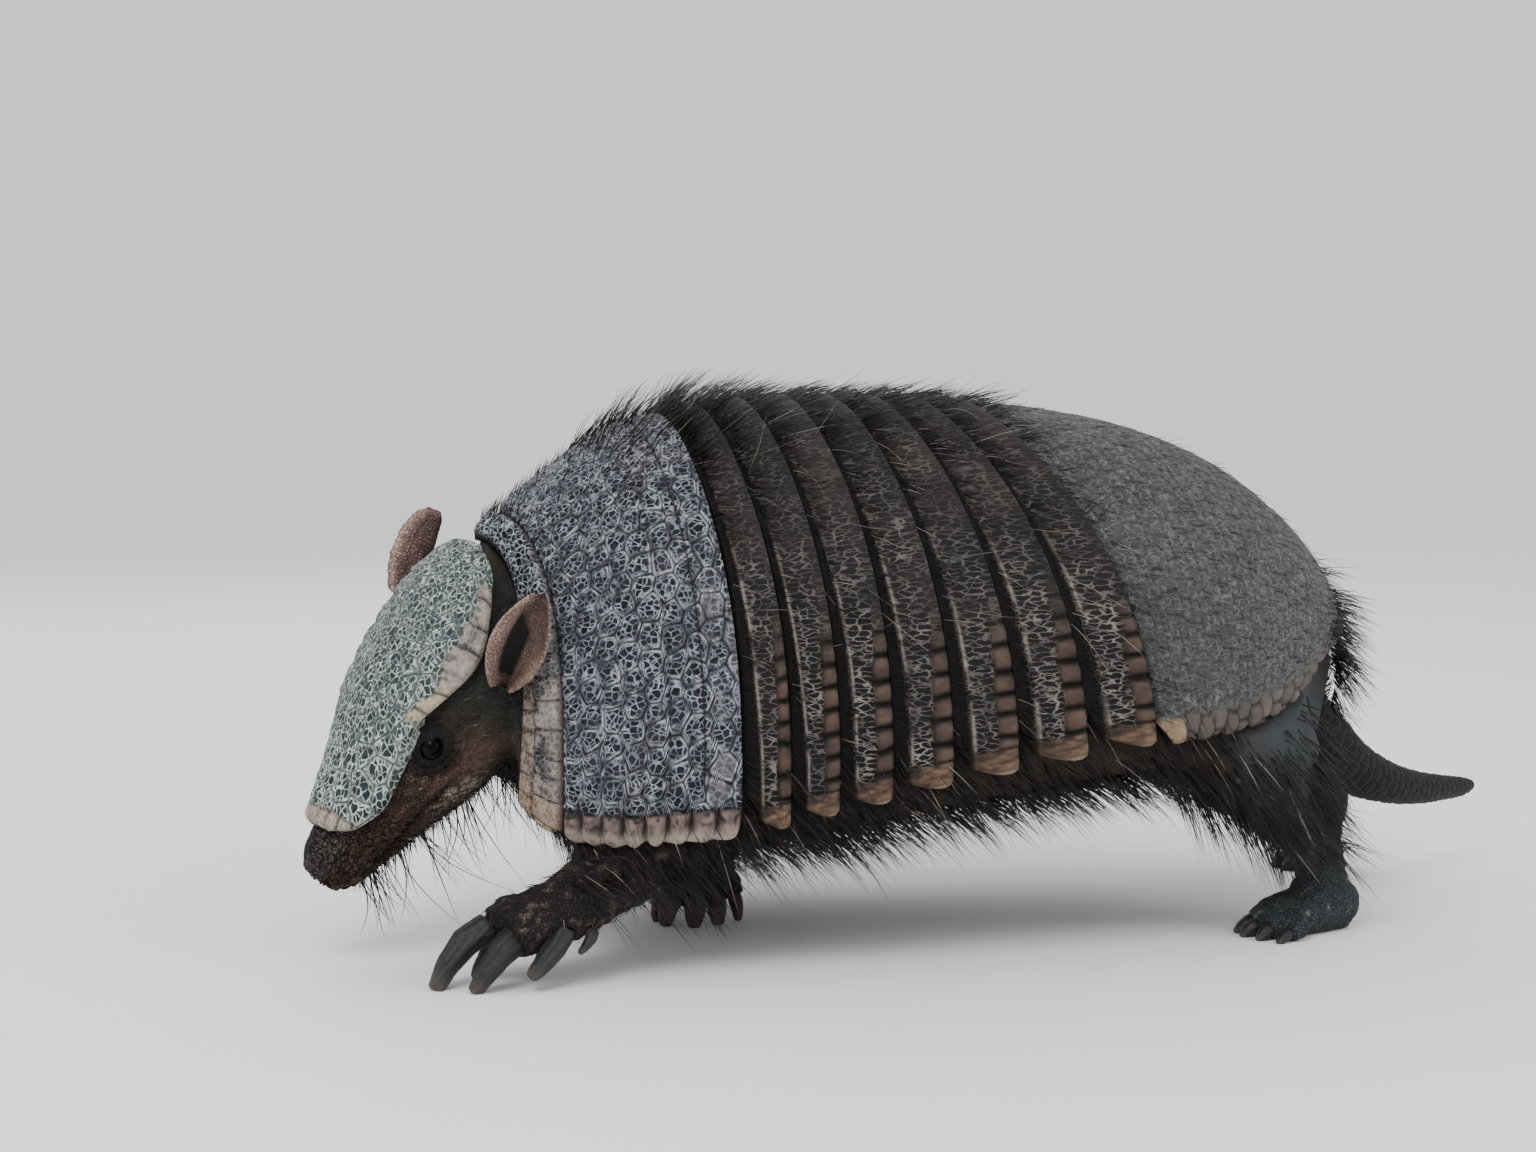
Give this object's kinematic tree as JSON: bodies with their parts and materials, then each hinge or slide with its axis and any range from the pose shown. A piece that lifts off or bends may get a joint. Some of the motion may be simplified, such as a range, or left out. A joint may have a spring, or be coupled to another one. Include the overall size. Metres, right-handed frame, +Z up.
{
  "type": "large hairy armadillo",
  "caption": "Life-size still model of a large hairy armadillo, walking with its head lowered: a bony shell of shields and moving bands, a horn head shield, clawed feet and a tapering tail.",
  "frame": {"origin": "on the floor, under the middle of the bounding box", "axes": "+X from the head towards the tail, +Y towards the animal's right side, +Z up"},
  "size_m": [0.4992, 0.1992, 0.2016],
  "materials": {
    "shell_horn": "slate grey bony scutes with pale seams, matte horn",
    "band_horn": "dark brown narrow scutes with pale streaks, matte horn",
    "hairy_skin": "dark brown wrinkled skin under sparse coarse hair",
    "ear_skin": "pinkish brown granular skin",
    "wet_eye": "glossy black",
    "claw_horn": "dark horn, half glossy, paler at the tips",
    "tail_horn": "near-black rings of small scutes"
  },
  "bodies": {
    "root": {"band_1": "band_horn", "band_2": "band_horn", "band_3": "band_horn", "band_4": "band_horn", "band_5": "band_horn", "band_6": "band_horn", "band_7": "band_horn", "ear_left": "ear_skin", "ear_right": "ear_skin", "eye_left": "wet_eye", "eye_right": "wet_eye", "fore_left_claw_1": "claw_horn", "fore_left_claw_2": "claw_horn", "fore_left_claw_3": "claw_horn", "fore_left_claw_4": "claw_horn", "fore_left_claw_5": "claw_horn", "fore_left_foot": "hairy_skin", "fore_left_lower": "hairy_skin", "fore_left_upper": "hairy_skin", "fore_right_claw_1": "claw_horn", "fore_right_claw_2": "claw_horn", "fore_right_claw_3": "claw_horn", "fore_right_claw_4": "claw_horn", "fore_right_claw_5": "claw_horn", "fore_right_foot": "hairy_skin", "fore_right_lower": "hairy_skin", "fore_right_upper": "hairy_skin", "head": "hairy_skin", "head_shield": "shell_horn", "hind_left_claw_1": "claw_horn", "hind_left_claw_2": "claw_horn", "hind_left_claw_3": "claw_horn", "hind_left_claw_4": "claw_horn", "hind_left_claw_5": "claw_horn", "hind_left_foot": "hairy_skin", "hind_left_lower": "hairy_skin", "hind_left_upper": "hairy_skin", "hind_right_claw_1": "claw_horn", "hind_right_claw_2": "claw_horn", "hind_right_claw_3": "claw_horn", "hind_right_claw_4": "claw_horn", "hind_right_claw_5": "claw_horn", "hind_right_foot": "hairy_skin", "hind_right_lower": "hairy_skin", "hind_right_upper": "hairy_skin", "hip_shield": "shell_horn", "lower_jaw": "hairy_skin", "neck": "hairy_skin", "neck_band": "shell_horn", "shoulder_shield": "shell_horn", "snout": "hairy_skin", "tail_base": "tail_horn", "tail_tip": "tail_horn", "trunk": "hairy_skin"}
  },
  "joints": []
}
